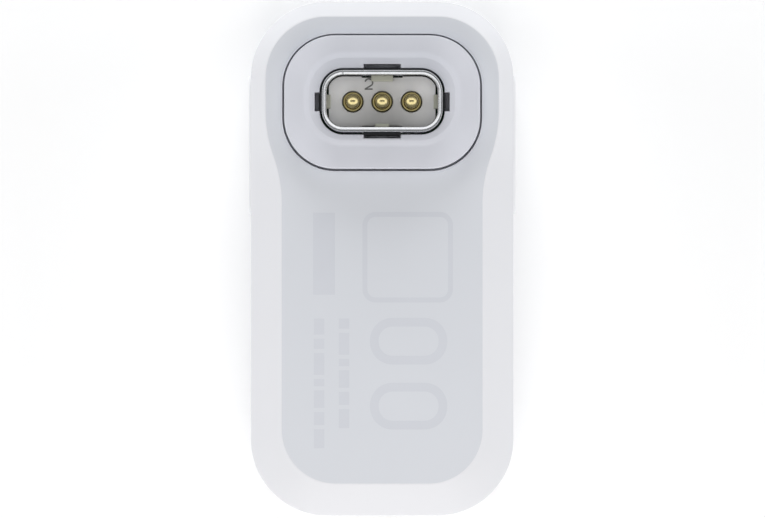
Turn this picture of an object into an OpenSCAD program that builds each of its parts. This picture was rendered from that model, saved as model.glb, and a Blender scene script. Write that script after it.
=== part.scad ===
// Charging adapter for a sports watch: a flat plastic dongle with a three-pin plug that presses into
// the watch on its back face and a USB-C receptacle in its end wall.
// It lies on its flat front face. +Z points out of the plug, +Y towards the plug end. Millimetres.

/* [Case] */
// Width of the case across X, without the grip pads
body_w = 18.1; // [17:0.1:22]
// Length of the case along Y
body_l = 35.4; // [32:0.1:43]
// Height of the flat plug face above the front face
body_h = 7.6; // [7.3:0.1:9.2]
// Radius of the case's four corners, seen from above
body_r = 5.25; // [4.5:0.05:6.3]
// Thickness of the lower case's side walls
case_wall = 1.2; // [1:0.05:1.45]
// Thickness of the lower case's floor
floor_t = 1.2; // [1:0.05:1.45]
// Radius along the edge of the front face
floor_edge_r = 1.2; // [0.4:0.05:1.2]
// Thickness of the cover over the parts room
ceiling_t = 1; // [0.8:0.05:1.2]

/* [Rim] */
// Drop of the sloping rim below the plug face
rim_drop = 1.5; // [1:0.05:1.5]
// Width of the rim at the plug end
rim_end_w = 1.08; // [0.8:0.02:1.3]
// Width of the rim beside the plug
rim_head_w = 1.01; // [0.8:0.02:1.3]
// Width of the rim along the handle part
rim_side_w = 2.12; // [1.7:0.02:2.5]
// Width of the rim at the port end
rim_tail_w = 2.24; // [1.8:0.02:2.6]
// Corner radius of the plug face at the plug end
face_head_r = 4.25; // [3.4:0.05:5]
// Corner radius of the plug face at the port end
face_tail_r = 3.75; // [3:0.05:4.4]
// Distance from the plug end to where the face starts to narrow
neck_from_end = 7.5; // [6:0.1:9]
// Length of the S-curve that narrows the face
neck_l = 6.44; // [5:0.02:7.8]

/* [Joint between the covers] */
// Height of the upright band on the cover's edge, below the sloping rim
cover_skirt_face = 0.3; // [0.2:0.05:0.4]
// Depth of the rebate inside the lower case's edge
rebate_depth = 0.9; // [0.75:0.05:1.1]
// Width of the rebate
rebate_w = 0.6; // [0.5:0.05:0.7]
// Thickness of the cover's skirt
skirt_t = 0.8; // [0.65:0.05:0.95]
// Gap between the skirt and the rebate's wall
skirt_gap = 0.05; // [0.03:0.01:0.08]
// Thickness of the bead of adhesive under the skirt
bead_t = 0.1; // [0.08:0.01:0.12]

/* [Plug boss] */
// Distance from the plug end to the plug's centre
plug_from_end = 7; // [6.5:0.05:8.4]
// Width of the boss across X
boss_w = 13.46; // [12.5:0.02:14]
// Length of the boss along Y
boss_l = 9.2; // [8.4:0.02:9.8]
// Corner radius of the boss
boss_r = 3.53; // [2.9:0.01:4.2]
// Height of the boss above the plug face
boss_h = 0.8; // [0.5:0.05:1.2]
// Gap round the boss in the cover's opening
boss_gap = 0.1; // [0.05:0.01:0.12]
// Width of the boss's flange under the cover
flange_w = 0.45; // [0.36:0.01:0.54]
// Gap round the flange in its pocket
flange_gap = 0.08; // [0.05:0.01:0.1]
// Width of the raised land on the boss
land_w = 10.74; // [9.6:0.02:11.4]
// Length of the raised land
land_l = 6.42; // [5.8:0.02:7.2]
// Corner radius of the land
land_r = 2.75; // [2.3:0.01:3.2]
// Height of the land above the boss
land_h = 0.12; // [0.08:0.01:0.2]
// Shift of the land towards the plug end
land_shift = 0.2; // [0:0.02:0.24]

/* [Plug shell] */
// Width of the plug shell across X
shell_w = 8.2; // [7.8:0.01:8.8]
// Length of the plug shell along Y
shell_l = 4.2; // [3.5:0.01:4.6]
// Corner radius of the plug shell
shell_r = 1.45; // [1.2:0.01:1.75]
// Thickness of the shell's steel
shell_t = 0.25; // [0.2:0.01:0.3]
// Height of the shell's lip above the land
shell_h = 1.7; // [1.4:0.05:2]
// How far the lip turns inwards past the shell's wall
lip_in = 0.07; // [0.05:0.01:0.12]
// Height of the inturned lip
lip_h = 0.4; // [0.3:0.01:0.48]
// Gap between the shell and the boss
shell_gap = 0.17; // [0.12:0.01:0.2]
// Width of the fingers in the shell's long sides
finger_long_w = 2.5; // [2:0.05:3]
// Width of the fingers in the shell's ends
finger_end_w = 1.25; // [1:0.05:1.5]
// How far a finger bows out of the shell
finger_bow = 0.25; // [0.2:0.01:0.3]
// Length of a finger from root to tip
finger_l = 2.4; // [2:0.05:2.8]
// Slit on each side of a finger
finger_slit = 0.15; // [0.12:0.01:0.18]
// Depth of the finger's notch below the land
notch_depth = 1.3; // [1:0.05:1.5]

/* [Plug insulator] */
// Gap between the insulator and the shell
moat = 0.16; // [0.13:0.01:0.2]
// Gap between a retaining tab and the shell
tab_gap = 0.03; // [0.02:0.01:0.05]
// Width of the tabs under the shell's long sides
tab_long_w = 1.5; // [1.2:0.05:1.8]
// Width of the tabs under the shell's ends
tab_end_w = 1; // [0.8:0.05:1.2]
// Length of a tab's top from the shell inwards
tab_in = 0.5; // [0.4:0.05:0.6]
// Height of a tab above the insulator
tab_h = 0.35; // [0.25:0.05:0.45]
// Depth of the relief behind a finger
relief = 0.12; // [0.08:0.01:0.16]

/* [Pins] */
// Distance between neighbouring pins
pin_pitch = 2; // [1.95:0.01:2.2]
// Diameter of a pin barrel
barrel_d = 1.35; // [1.3:0.01:1.4]
// Bore of a pin barrel
barrel_bore = 1.14; // [1.12:0.01:1.16]
// Mouth of a pin barrel
barrel_mouth = 1.02; // [1.01:0.01:1.04]
// Thickness of the barrel's turned-in lip
barrel_lip = 0.2; // [0.15:0.01:0.24]
// Gap between a plunger and the barrel, on the radius
plunger_gap = 0.03; // [0.02:0.005:0.05]
// Height of a fully pressed plunger's tip above the barrel
plunger_rest = 0.12; // [0.1:0.01:0.2]
// Length of the plunger's wide tail
plunger_tail_l = 0.8; // [0.6:0.05:0.9]
// Radius of the tip's crown
crown_r = 1; // [0.7:0.05:1.3]
// Radius of the tip's rounded shoulder
crown_edge = 0.2; // [0.15:0.01:0.24]
// Travel of a plunger
plunger_travel = 0.6; // [0.5:0.01:0.65]
// Depth of the tips below the shell's lip
tip_below_lip = 0.78; // [0.7:0.01:0.9]
// Height of a barrel's rim above the insulator
barrel_rise = 0.1; // [0.05:0.01:0.12]
// Gap between a barrel and the insulator, on the radius
barrel_gap = 0.05; // [0.03:0.01:0.06]
// Diameter of a barrel's solder tail
tail_d = 0.7; // [0.6:0.01:0.8]
// Length of a solder tail or leg past the board
tail_l = 0.3; // [0.2:0.05:0.4]
// Diameter of the spring's wire
spring_wire = 0.13; // [0.11:0.01:0.15]
// Turns of the spring
spring_turns = 5; // [4:1:5]

/* [Grip pads] */
// Length of a grip pad along Y
pad_l = 9.6; // [8:0.1:11.5]
// Distance from the plug end to the pad
pad_from_end = 5; // [4.2:0.1:6]
// Height of a grip pad
pad_h = 3.4; // [2.8:0.05:3.5]
// Height of the pad's lower edge above the front face
pad_z = 1.3; // [1.2:0.05:1.5]
// How far a pad stands out of the case
pad_proud = 0.2; // [0.15:0.01:0.24]
// Depth of the pad's pocket in the case
pad_inlay = 0.4; // [0.3:0.01:0.45]
// Corner radius of a pad
pad_r = 0.8; // [0.4:0.05:1]
// Gap round a pad in its pocket
pad_gap = 0.04; // [0.02:0.01:0.05]

/* [Circuit board] */
// Thickness of the board
pcb_t = 0.8; // [0.7:0.05:0.95]
// Gap between the board and the case or the cover's skirt
pcb_gap = 0.3; // [0.2:0.05:0.36]
// Height of the free room above the board
pcb_headroom = 0.55; // [0.5:0.05:0.65]
// Diameter of the posts under the board
post_d = 1.8; // [1.6:0.1:2.1]
// Diameter of the locating pin on a post
locator_d = 0.9; // [0.8:0.05:1]
// Gap between a board hole and what passes through it
pcb_hole_gap = 0.07; // [0.05:0.01:0.08]
// Distance of the posts from the case's centre line
post_x = 6.1; // [5.6:0.1:6.2]
// Distance of the front posts from the port end
post_tail_y = 9.8; // [9.2:0.1:11]
// Distance of the rear posts from the plug end
post_head_y = 4.3; // [4:0.1:5]
// Diameter of the two pegs that hold the board down
peg_d = 1.6; // [1.2:0.1:1.8]
// Distance of the pegs from the case's centre line
peg_x = 4.4; // [4:0.1:4.8]
// Distance of the pegs behind the front posts
peg_y = 2.5; // [2:0.1:4]

/* [USB-C receptacle] */
// Width of the receptacle's shell
usb_w = 8.94; // [8.9:0.01:9]
// Height of the receptacle's shell
usb_h = 3.16; // [3.1:0.01:3.26]
// Length of the receptacle's shell
usb_l = 7.35; // [6.5:0.05:8.9]
// Thickness of the receptacle's shell
usb_t = 0.3; // [0.25:0.01:0.33]
// Depth of the shell's mouth below the end wall
usb_inset = 0.15; // [0.05:0.01:0.25]
// Gap round the shell in the end wall
usb_gap = 0.1; // [0.07:0.01:0.12]
// Width of the full-thickness end wall on each side of the shell
usb_cheek = 0.7; // [0.5:0.05:0.9]
// Distance from the shell's mouth to its front legs
usb_leg_front = 3.7; // [3.5:0.05:4]
// Distance from the shell's back to its rear legs
usb_leg_back = 1.2; // [0.8:0.05:1.4]
// Gap between the front legs' solder and the cover
leg_room = 0.2; // [0.1:0.05:0.3]
// Width of the tongue
tongue_w = 6.69; // [6.6:0.01:6.8]
// Thickness of the tongue
tongue_t = 0.7; // [0.65:0.01:0.75]
// Depth of the tongue's tip behind the mouth
tongue_inset = 0.95; // [0.8:0.05:1.1]
// Free length of the tongue
tongue_l = 4.6; // [4:0.05:5]
// Thickness of the plate inside the tongue
mid_plate_t = 0.15; // [0.12:0.01:0.18]
// Width of a contact
contact_w = 0.25; // [0.22:0.01:0.28]
// Thickness of a contact
contact_t = 0.12; // [0.1:0.01:0.14]
// Distance between contact places
contact_pitch = 0.5; // [0.49:0.01:0.51]

/* [Hidden] */
$fn = 64;
eps = 0.01;

// Heights, from the front face upwards
rim_z = body_h - rim_drop;
seam_z = rim_z - cover_skirt_face;
ceiling_z = body_h - ceiling_t;
pcb_top = ceiling_z - pcb_headroom;
pcb_z = pcb_top - pcb_t;
boss_z = body_h + boss_h;
land_z = boss_z + land_h;
lip_z = land_z + shell_h;
tip_z = lip_z - tip_below_lip;
barrel_z = tip_z - plunger_travel - plunger_rest;
insulator_z = barrel_z - barrel_rise;
usb_z = pcb_z - usb_h / 2;

// Places along Y
end_y = body_l / 2;
plug_y = end_y - plug_from_end;
usb_y = -end_y + usb_inset;
usb_back_y = usb_y + usb_l;
pad_y = end_y - pad_from_end - pad_l / 2;
post_places = [for (s = [-1, 1]) for (y = [-end_y + post_tail_y, end_y - post_head_y]) [s * post_x, y]];

// Inner outlines
skirt_out = case_wall - rebate_w + skirt_gap;
skirt_in = skirt_out + skirt_t;
pcb_in = skirt_in + pcb_gap;
usb_notch_w = usb_w + 2 * usb_cheek;
tail_z = pcb_z - tail_l;
leg_up_z = pcb_top + tail_l;

// The pins, counted from the left
pin_xs = [for (i = [-1:1]) i * pin_pitch];
barrel_bottom = pcb_top + 0.1;
spring_bottom = barrel_bottom + 0.15;
shoulder_z = barrel_z - barrel_lip - 0.01;
plunger_bottom = shoulder_z - plunger_tail_l;
plunger_r = barrel_mouth / 2 - plunger_gap;
spring_r = (barrel_bore - spring_wire) / 2 - 0.06;

// Feet and legs
shell_leg = [0.9, 0.3];
shell_leg_places = [for (s = [-1, 1]) for (t = [-1, 1])
    [s * (shell_w / 2 - shell_r - shell_leg[0] / 2), plug_y + t * (shell_l - shell_t) / 2]];
usb_leg = [0.3, 1];
usb_leg_places = [for (s = [-1, 1]) for (d = [usb_leg_front, usb_l - usb_leg_back])
    [s * (usb_w - usb_t) / 2, usb_y + d]];
solder_narrow = 0.1;
solder_wide = 0.3;
foot_l = 0.9;

// Small parts under the board: centre on the board and size as length, width, height
resistor_size = [1, 0.5, 0.35];
diode_size = [1.7, 1.25, 0.9];
capacitor_size = [2, 1.25, 1.25];
fuse_size = [3.2, 1.6, 0.8];
chip_y = usb_back_y + 2.9;

// A rounded rectangle, centred
module rounded(w, l, r) {
    for (s = [-1, 1]) for (t = [-1, 1]) translate([s * (w / 2 - r), t * (l / 2 - r)]) circle(r);
    square([w - 2 * r, l], center = true);
    square([w, l - 2 * r], center = true);
}

// A slot shape with half-round ends, centred
module stadium(w, h) {
    for (s = [-1, 1]) translate([s * (w - h) / 2, 0]) circle(d = h);
    square([w - h, h], center = true);
}

module rounded_block(w, l, r, z0, z1) {
    translate([0, 0, z0]) linear_extrude(z1 - z0) rounded(w, l, r);
}

// The case's outline, moved inwards
module case_block(inset, z0, z1) {
    rounded_block(body_w - 2 * inset, body_l - 2 * inset, body_r - inset, z0, z1);
}

// A block with upright round corners and a rounded lower edge, built from parts that meet face to face
module soft_block(w, l, h, r, edge) {
    for (turn = [0:3]) {
        odd = turn % 2;
        half = [(odd ? l : w) / 2 - r, (odd ? w : l) / 2 - r];
        rotate([0, 0, 90 * turn]) {
            translate([half[0], half[1], 0]) rotate_extrude(angle = 90) edge_profile(r, h, edge);
            translate([half[0], half[1], 0]) rotate([90, 0, 0])
                linear_extrude(2 * half[1]) edge_profile(r, h, edge);
        }
    }
    translate([r - w / 2, r - l / 2, 0]) cube([w - 2 * r, l - 2 * r, h]);
}

module edge_profile(r, h, edge) {
    translate([0, edge]) square([r, h - edge]);
    square([r - edge, edge]);
    translate([r - edge, 0]) intersection() {
        translate([0, edge]) circle(edge);
        square(edge);
    }
}

// Outlines of the case and of its plug face as matching points, for one half from +Y to -Y
arc_steps = 14;
neck_steps = 8;
function arc(c, r, from, to, steps) =
    [for (i = [0:steps]) let (a = from + (to - from) * i / steps) c + r * [cos(a), sin(a)]];
function corner(half_w, end, r, from, to) =
    arc([half_w - r, (end > 0 ? end - r : end + r)], r, from, to, arc_steps);

face_head_x = body_w / 2 - rim_head_w;
face_tail_x = body_w / 2 - rim_side_w;
face_top = end_y - rim_end_w;
face_end = -end_y + rim_tail_w;
neck_top = end_y - neck_from_end;
neck_in = face_head_x - face_tail_x;
neck_r = (neck_l * neck_l + neck_in * neck_in) / (4 * neck_in);
neck_a = asin(neck_l / (2 * neck_r));
neck_half = concat(
    arc([face_head_x - neck_r, neck_top], neck_r, 0, -neck_a, neck_steps),
    arc([face_tail_x + neck_r, neck_top - neck_l], neck_r, 180 - neck_a, 180, neck_steps));
neck_pts = [for (i = [0:len(neck_half) - 1]) if (i != neck_steps + 1) neck_half[i]];

face_half = concat(
    corner(face_head_x, face_top, face_head_r, 90, 0), neck_pts,
    corner(face_tail_x, face_end, face_tail_r, 0, -90));
body_half = concat(
    corner(body_w / 2, end_y, body_r, 90, 0), [for (p = neck_pts) [body_w / 2, p[1]]],
    corner(body_w / 2, -end_y, body_r, 0, -90));
function both_sides(half) =
    concat(half, [for (i = [len(half) - 1:-1:0]) [-half[i][0], half[i][1]]]);

// A solid through outlines of matching points at rising heights, wound clockwise seen from above
module loft(outlines, heights) {
    n = len(outlines[0]);
    top = n * (len(outlines) - 1);
    points = [for (k = [0:len(outlines) - 1]) for (p = outlines[k]) [p[0], p[1], heights[k]]];
    sides = [for (k = [0:len(outlines) - 2]) for (i = [0:n - 1])
        let (a = k * n + i, b = k * n + (i + 1) % n) each [[a, b, b + n], [a, b + n, a + n]]];
    first = [for (i = [n - 1:-1:0]) i];
    last = [for (i = [0:n - 1]) top + i];
    polyhedron(points, concat([first], [last], sides));
}

module lower_case() {
    color("ghostwhite") difference() {
        union() {
            difference() {
                soft_block(body_w, body_l, seam_z, body_r, floor_edge_r);
                case_block(case_wall, floor_t, seam_z + 1);
                difference() {
                    case_block(case_wall - rebate_w, seam_z - rebate_depth, seam_z + 1);
                    usb_clearance(-eps);
                }
            }
            for (p = post_places) translate([p[0], p[1], 0]) {
                translate([0, 0, floor_t - eps]) cylinder(d = post_d, h = pcb_z - floor_t + eps);
                translate([0, 0, pcb_z - eps]) cylinder(d = locator_d, h = pcb_t - 0.1 + eps);
            }
        }
        translate([0, -end_y - 1, usb_z]) rotate([-90, 0, 0])
            linear_extrude(case_wall + 2) stadium(usb_w + 2 * usb_gap, usb_h + 2 * usb_gap);
        for (s = [-1, 1]) pad_block(s, pad_gap, pad_inlay, 1);
    }
}

// The end wall stays at its full thickness over the receptacle, and the cover's skirt stops beside it
module usb_clearance(grow, depth = case_wall) {
    translate([-usb_notch_w / 2 - grow, -end_y - 1, 0])
        cube([usb_notch_w + 2 * grow, depth + 1 + grow, body_h + 1]);
}

// A grip pad's block, from inlay inside the case's side to proud outside it
module pad_block(s, grow, inlay, proud) {
    translate([s * (body_w / 2 - inlay), pad_y, pad_z + pad_h / 2]) rotate([90, 0, 90])
        mirror([0, 0, s < 0 ? 1 : 0]) linear_extrude(inlay + proud)
            rounded(pad_l + 2 * grow, pad_h + 2 * grow, pad_r + grow);
}

module grip_pad(s) {
    color("whitesmoke") pad_block(s, 0, pad_inlay, pad_proud);
}

module upper_cover() {
    flange_room = 2 * (flange_w + flange_gap);
    room_w = 2 * (post_x - 0.2);
    room_from = usb_leg_places[0][1] - usb_leg[1] / 2 - solder_wide - leg_room;
    color("white") difference() {
        union() {
            loft([both_sides(body_half), both_sides(body_half), both_sides(face_half)],
                [seam_z, rim_z, body_h]);
            difference() {
                case_block(skirt_out, seam_z - rebate_depth + bead_t, seam_z + 0.2);
                usb_clearance(skirt_gap, skirt_in);
            }
        }
        case_block(skirt_in, 0, rim_z);
        translate([-room_w / 2, room_from, 0]) cube([room_w, plug_y - room_from, ceiling_z]);
        translate([0, plug_y, 0]) {
            rounded_block(boss_w + flange_room, boss_l + flange_room, boss_r + flange_room / 2,
                0, ceiling_z);
            rounded_block(boss_w + 2 * boss_gap, boss_l + 2 * boss_gap, boss_r + boss_gap,
                0, body_h + 1);
        }
    }
    color("white") for (s = [-1, 1]) translate([s * peg_x, -end_y + post_tail_y + peg_y, pcb_top])
        cylinder(d = peg_d, h = ceiling_z - pcb_top + eps);
}

module seam_adhesive() {
    color("gainsboro") difference() {
        case_block(case_wall - rebate_w + eps, seam_z - rebate_depth,
            seam_z - rebate_depth + bead_t);
        case_block(case_wall - eps, 0, body_h);
        usb_clearance(skirt_gap);
    }
}

// One of the plug shell's four finger places: on the long sides, then on the ends
module at_fingers() {
    for (s = [0, 180]) rotate([0, 0, s]) {
        translate([0, shell_l / 2, 0]) children(0);
        rotate([0, 0, -90]) translate([0, shell_w / 2, 0]) children(1);
    }
}

module plug_boss() {
    bore = [shell_w + 2 * shell_gap, shell_l + 2 * shell_gap, shell_r + shell_gap];
    color("gainsboro") translate([0, plug_y, 0]) difference() {
        union() {
            rounded_block(boss_w + 2 * flange_w, boss_l + 2 * flange_w, boss_r + flange_w,
                pcb_top, ceiling_z);
            rounded_block(boss_w, boss_l, boss_r, pcb_top, boss_z);
            translate([0, land_shift, 0]) rounded_block(land_w, land_l, land_r, pcb_top, land_z);
        }
        rounded_block(bore[0], bore[1], bore[2], 0, lip_z);
        at_fingers() {
            notch(finger_long_w);
            notch(finger_end_w);
        }
        for (p = post_places) translate([p[0], p[1] - plug_y, 0])
            cylinder(d = locator_d + 0.2, h = pcb_top + 0.1);
    }
}

module notch(w) {
    depth = finger_bow + shell_gap;
    translate([-w / 2 - 0.02, -1, land_z - notch_depth])
        cube([w + 0.04, 1 + depth, notch_depth + 1]);
}

module plug_shell() {
    color("silver") {
        translate([0, plug_y, 0]) {
            difference() {
                rounded_block(shell_w, shell_l, shell_r, pcb_top, lip_z);
                rounded_block(shell_w - 2 * shell_t, shell_l - 2 * shell_t, shell_r - shell_t,
                    0, lip_z - lip_h);
                rounded_block(shell_w - 2 * (shell_t + lip_in), shell_l - 2 * (shell_t + lip_in),
                    shell_r - shell_t - lip_in, 0, lip_z + 1);
                at_fingers() {
                    window(finger_long_w);
                    window(finger_end_w);
                }
            }
            at_fingers() {
                finger(finger_long_w);
                finger(finger_end_w);
            }
        }
        for (p = shell_leg_places) translate([p[0] - shell_leg[0] / 2, p[1] - shell_leg[1] / 2, tail_z])
            cube([shell_leg[0], shell_leg[1], pcb_top - tail_z + eps]);
    }
}

finger_top = lip_z - lip_h - 0.2;
module window(w) {
    translate([-w / 2 - finger_slit, -shell_t - 0.1, finger_top - finger_l])
        cube([w + 2 * finger_slit, shell_t + 0.2, finger_l]);
}

// A strip that bows out between the window's two ends
module finger(w) {
    thick = 0.18;
    bow_r = (finger_l * finger_l / 4 + finger_bow * finger_bow) / (2 * finger_bow);
    translate([-w / 2, 0, finger_top - finger_l / 2]) rotate([90, 0, 90])
        linear_extrude(w) intersection() {
            translate([finger_bow - bow_r, 0]) difference() {
                circle(bow_r);
                circle(bow_r - thick);
            }
            translate([-shell_t, -finger_l / 2 - 0.1]) square([shell_t + 1, finger_l + 0.2]);
        }
}

module plug_insulator() {
    inner_w = shell_w - 2 * (shell_t + moat);
    inner_l = shell_l - 2 * (shell_t + moat);
    color("lightyellow") translate([0, plug_y, 0]) difference() {
        union() {
            difference() {
                rounded_block(inner_w, inner_l, shell_r - shell_t - moat, pcb_top, insulator_z);
                at_fingers() {
                    relief_cut(finger_long_w);
                    relief_cut(finger_end_w);
                }
            }
            at_fingers() {
                tab(tab_long_w);
                tab(tab_end_w);
            }
        }
        for (x = pin_xs) translate([x, 0, 0]) cylinder(d = barrel_d + 2 * barrel_gap, h = lip_z);
    }
}

// Room for a finger to spring inwards
module relief_cut(w) {
    translate([-w / 2 - finger_slit, -shell_t - moat - relief, pcb_top - 1])
        cube([w + 2 * finger_slit, moat + relief + 0.1, lip_z]);
}

// A tab that reaches under the shell's lip
module tab(w) {
    root = tab_h + 0.5;
    translate([-w / 2, -shell_t - tab_gap - tab_in, insulator_z + tab_h - root])
        cube([w, tab_in, root]);
}

// A pin's parts, where x is the pin's place
module pin_barrel(x) {
    color("goldenrod") translate([x, plug_y, 0]) rotate_extrude() difference() {
        union() {
            translate([0, barrel_bottom]) square([barrel_d / 2, barrel_z - barrel_bottom]);
            translate([0, tail_z]) square([tail_d / 2, barrel_bottom - tail_z + eps]);
        }
        translate([0, spring_bottom]) square([barrel_bore / 2, barrel_z - barrel_lip - spring_bottom]);
        translate([0, spring_bottom]) square([barrel_mouth / 2, barrel_z]);
    }
}

module pin_plunger(x) {
    // The crown's arc meets the shoulder's smaller arc on the line through both centres
    edge_x = plunger_r - crown_edge;
    edge_rise = sqrt(pow(crown_r - crown_edge, 2) - pow(edge_x, 2));
    centre_z = tip_z - crown_r;
    color("gold") translate([x, plug_y, 0]) rotate_extrude() {
        translate([0, plunger_bottom]) square([barrel_bore / 2 - plunger_gap, plunger_tail_l]);
        translate([0, plunger_bottom]) square([plunger_r, centre_z + edge_rise - plunger_bottom]);
        translate([edge_x, centre_z + edge_rise]) circle(crown_edge);
        translate([0, centre_z]) intersection() {
            circle(crown_r);
            polygon([[0, 0], [2 * edge_x, 2 * edge_rise], [0, 2 * crown_r]]);
        }
    }
}

// A round wire swept along a helix between the barrel's floor and the plunger
module pin_spring(x) {
    steps = spring_turns * 12;
    sides = 6;
    rise = plunger_bottom - spring_bottom - spring_wire - 0.02;
    start_z = spring_bottom + spring_wire / 2 + 0.01;
    rings = [for (i = [0:steps]) let (a = 360 * i / 12, z = start_z + rise * i / steps)
        for (k = [0:sides - 1]) let (b = 360 * k / sides, r = spring_r + spring_wire / 2 * cos(b))
            [r * cos(a), r * sin(a), z + spring_wire / 2 * sin(b)]];
    walls = [for (i = [0:steps - 1]) for (k = [0:sides - 1])
        let (a = i * sides + k, b = i * sides + (k + 1) % sides)
            each [[a, b, b + sides], [a, b + sides, a + sides]]];
    first = [for (k = [sides - 1:-1:0]) k];
    last = [for (k = [0:sides - 1]) steps * sides + k];
    color("darkgray") translate([x, plug_y, 0]) polyhedron(rings, concat([first], walls, [last]));
}

module main_pcb() {
    color("darkgreen") difference() {
        case_block(pcb_in, pcb_z, pcb_top);
        for (x = pin_xs) translate([x, plug_y, 0]) cylinder(d = tail_d + 2 * pcb_hole_gap, h = body_h);
        for (p = post_places) translate([p[0], p[1], 0])
            cylinder(d = locator_d + 2 * pcb_hole_gap, h = body_h);
        for (p = shell_leg_places) slot(p, shell_leg);
        for (p = usb_leg_places) slot(p, usb_leg);
    }
}

module slot(p, size) {
    grow = 2 * pcb_hole_gap;
    translate([p[0], p[1], body_h / 2]) cube([size[0] + grow, size[1] + grow, body_h], center = true);
}

module usb_shell() {
    color("lightgray") {
        translate([0, usb_back_y, usb_z]) rotate([90, 0, 0]) linear_extrude(usb_l) difference() {
            stadium(usb_w, usb_h);
            stadium(usb_w - 2 * usb_t, usb_h - 2 * usb_t);
        }
        for (p = usb_leg_places) translate([p[0] - usb_leg[0] / 2, p[1] - usb_leg[1] / 2, usb_z])
            cube([usb_leg[0], usb_leg[1], leg_up_z - usb_z]);
    }
}

tongue_y = usb_y + tongue_inset;
base_y = tongue_y + tongue_l;
module usb_insulator() {
    gap = 0.02;
    color("dimgray") difference() {
        union() {
            translate([-tongue_w / 2, tongue_y, usb_z - tongue_t / 2])
                cube([tongue_w, tongue_l + 0.5, tongue_t]);
            translate([0, usb_back_y, usb_z]) rotate([90, 0, 0]) linear_extrude(usb_back_y - base_y)
                stadium(usb_w - 2 * (usb_t + gap), usb_h - 2 * (usb_t + gap));
        }
        mid_plate_solid();
        contact_row(1);
        contact_row(-1);
    }
}

module mid_plate_solid() {
    translate([-tongue_w / 2 - 0.1, tongue_y + 0.2, usb_z - mid_plate_t / 2])
        cube([tongue_w + 0.2, base_y + 0.6 - tongue_y, mid_plate_t]);
}

module usb_mid_plate() {
    color("silver") mid_plate_solid();
}

// Power-only receptacle: a row has its configuration, supply and ground contacts
contact_steps = [-1.5, 2.5, 5.5];
module contact_row(s) {
    back = usb_back_y + (s > 0 ? 0.25 : 1.1);
    z = usb_z + s * (tongue_t / 2 - contact_t / 2);
    for (i = contact_steps) translate([s * i * contact_pitch - contact_w / 2, 0, 0]) {
        translate([0, tongue_y + 0.35, z - contact_t / 2])
            cube([contact_w, back - tongue_y - 0.35, contact_t]);
        translate([0, back - contact_t, z - contact_t / 2])
            cube([contact_w, contact_t, pcb_z - z + contact_t / 2]);
        translate([0, back - contact_t, pcb_z - contact_t])
            cube([contact_w, contact_t + (s > 0 ? 0.4 : foot_l), contact_t]);
    }
}

module usb_contacts_upper() {
    color("gold") contact_row(1);
}

module usb_contacts_lower() {
    color("gold") contact_row(-1);
}

// A chip under the board, with its end caps
module chip(x, y, size) {
    translate([x - size[0] / 2, y - size[1] / 2, pcb_z - size[2]]) cube(size);
}

module solder_joints() {
    color("silver") {
        for (x = pin_xs) translate([x, plug_y, 0]) difference() {
            translate([0, 0, tail_z + 0.05])
                cylinder(r1 = tail_d / 2 + solder_narrow, r2 = tail_d / 2 + solder_wide,
                    h = tail_l - 0.05);
            cylinder(d = tail_d + 0.02, h = body_h);
        }
        for (p = shell_leg_places) leg_solder(p, shell_leg, tail_z + 0.05, pcb_z, 1);
        for (p = usb_leg_places) leg_solder(p, usb_leg, pcb_top, leg_up_z - 0.05, -1);
    }
}

// Solder round a flat leg: up is 1 where the solder widens upwards to the board
module leg_solder(p, size, z0, z1, up) {
    r = max(size[0], size[1]) / 2;
    low = up > 0 ? solder_narrow : solder_wide;
    high = up > 0 ? solder_wide : solder_narrow;
    translate([p[0], p[1], z0]) difference() {
        cylinder(r1 = r + low, r2 = r + high, h = z1 - z0);
        cube([size[0] + 0.02, size[1] + 0.02, 4], center = true);
    }
}

module cc_resistor(s) {
    color("black") chip(s * 1.1, chip_y, resistor_size);
}

module tvs_diode() {
    color("black") chip(-4.2, chip_y, diode_size);
}

module input_capacitor() {
    color("tan") chip(3.9, chip_y, capacitor_size);
}

module input_fuse() {
    color("darkolivegreen") chip(0, chip_y + 2.6, fuse_size);
}

lower_case();
upper_cover();
seam_adhesive();
plug_boss();
plug_shell();
plug_insulator();
pin_barrel(pin_xs[0]);  // pin_barrel_1
pin_barrel(pin_xs[1]);  // pin_barrel_2
pin_barrel(pin_xs[2]);  // pin_barrel_3
pin_plunger(pin_xs[0]);  // pin_plunger_1
pin_plunger(pin_xs[1]);  // pin_plunger_2
pin_plunger(pin_xs[2]);  // pin_plunger_3
pin_spring(pin_xs[0]);  // pin_spring_1
pin_spring(pin_xs[1]);  // pin_spring_2
pin_spring(pin_xs[2]);  // pin_spring_3
grip_pad(-1);  // grip_pad_left
grip_pad(1);  // grip_pad_right
main_pcb();
usb_shell();
usb_insulator();
usb_mid_plate();
usb_contacts_upper();
usb_contacts_lower();
cc_resistor(-1);  // cc_resistor_1
cc_resistor(1);  // cc_resistor_2
tvs_diode();
input_capacitor();
input_fuse();
solder_joints();
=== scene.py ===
import bmesh
import bpy
import math
from mathutils import Matrix, Vector


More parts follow.
